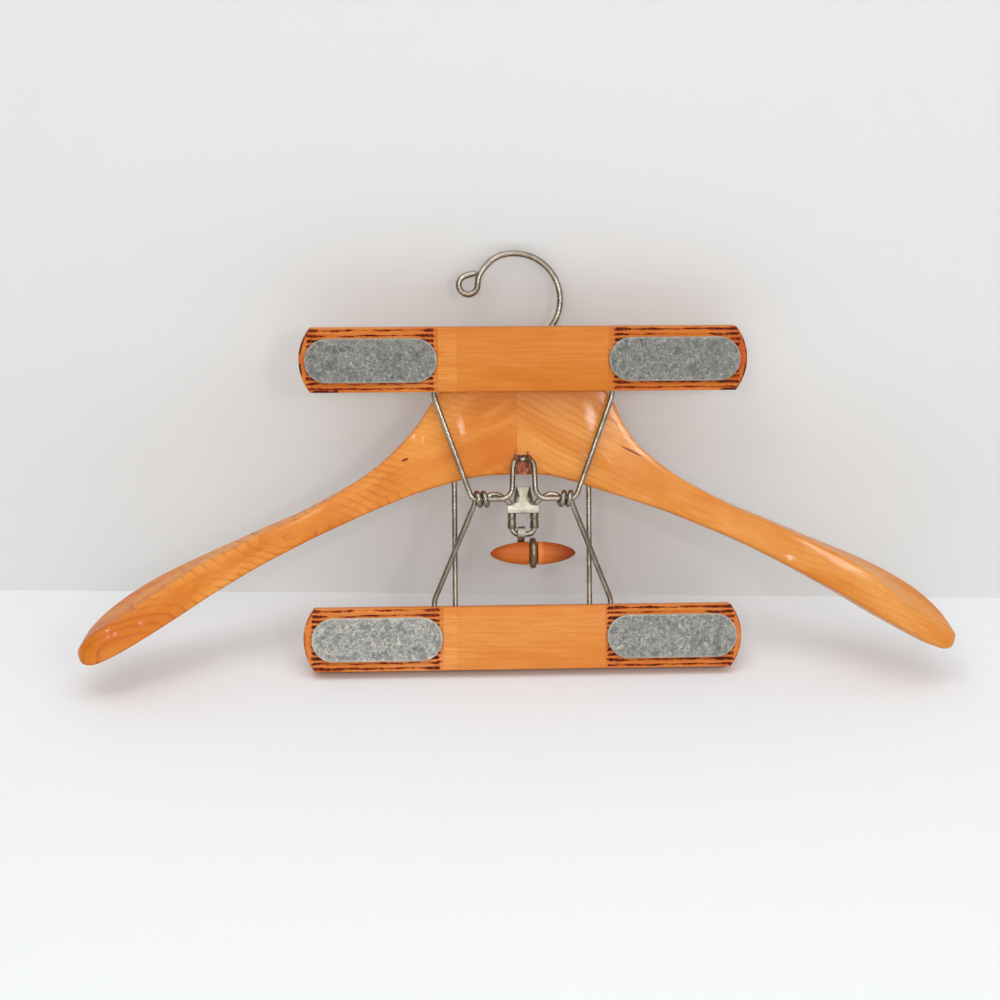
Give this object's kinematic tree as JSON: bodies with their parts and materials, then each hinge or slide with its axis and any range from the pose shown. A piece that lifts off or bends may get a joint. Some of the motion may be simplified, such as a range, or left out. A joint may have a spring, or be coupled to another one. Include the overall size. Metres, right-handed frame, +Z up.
{
  "type": "wooden suit hanger",
  "caption": "Lacquered wooden suit hanger with a swivelling wire hook and a swing-over trouser clamp of felt-lined wooden bars on wire frames, shown open.",
  "frame": {"origin": "the seat inside the hook's crest, where a rail carries the hanger", "axes": "+X to the right along the shoulders, -Y towards the viewer on the clamp's side, +Z up"},
  "size_m": [0.446, 0.0412, 0.2154],
  "materials": {
    "body_wood": "clear gloss lacquer over maple",
    "dowel_wood": "bare wood, hidden",
    "bar_wood": "thin satin lacquer, scorched grooves under the pads",
    "grip_wood": "red-brown gloss lacquer",
    "nickel_wire": "aged bright nickel plate",
    "pressed_steel": "plated sheet steel, slightly dulled",
    "felt": "grey heather wool felt"
  },
  "bodies": {
    "hanger": {"body_left_half": "body_wood", "body_right_half": "body_wood", "seam_dowel_lower": "dowel_wood", "seam_dowel_upper": "dowel_wood", "suspension_wire_left": "nickel_wire", "suspension_wire_right": "nickel_wire", "rear_bar": "bar_wood", "rear_felt_left": "felt", "rear_felt_right": "felt", "rear_frame_wire": "nickel_wire", "catch_plate": "pressed_steel"},
    "hook": {"hook": "nickel_wire"},
    "front_clamp": {"front_frame_wire": "nickel_wire", "front_bar": "bar_wood", "front_felt_left": "felt", "front_felt_right": "felt"},
    "pull": {"pull_tongue": "pressed_steel", "pull_ring": "nickel_wire"},
    "toggle": {"toggle_grip": "grip_wood"}
  },
  "joints": [
    {"name": "hook_swivel", "type": "hinge", "parent": "hanger", "child": "hook", "pos_m": [0, 0, -0.0544], "axis": [0, 0, 1], "range_deg": [-25, 205]},
    {"name": "clamp_fold", "type": "hinge", "parent": "hanger", "child": "front_clamp", "pos_m": [0.003, -0.0125, -0.1244], "axis": [1, 0, 0], "range_deg": [0, 174]},
    {"name": "pull_swing", "type": "hinge", "parent": "hanger", "child": "pull", "pos_m": [0.003, -0.007, -0.1427], "axis": [1, 0, 0], "range_deg": [-16, 80]},
    {"name": "toggle_spin", "type": "hinge", "parent": "pull", "child": "toggle", "pos_m": [0.0078, -0.0079, -0.1524], "axis": [1, 0, 0], "continuous": true}
  ]
}
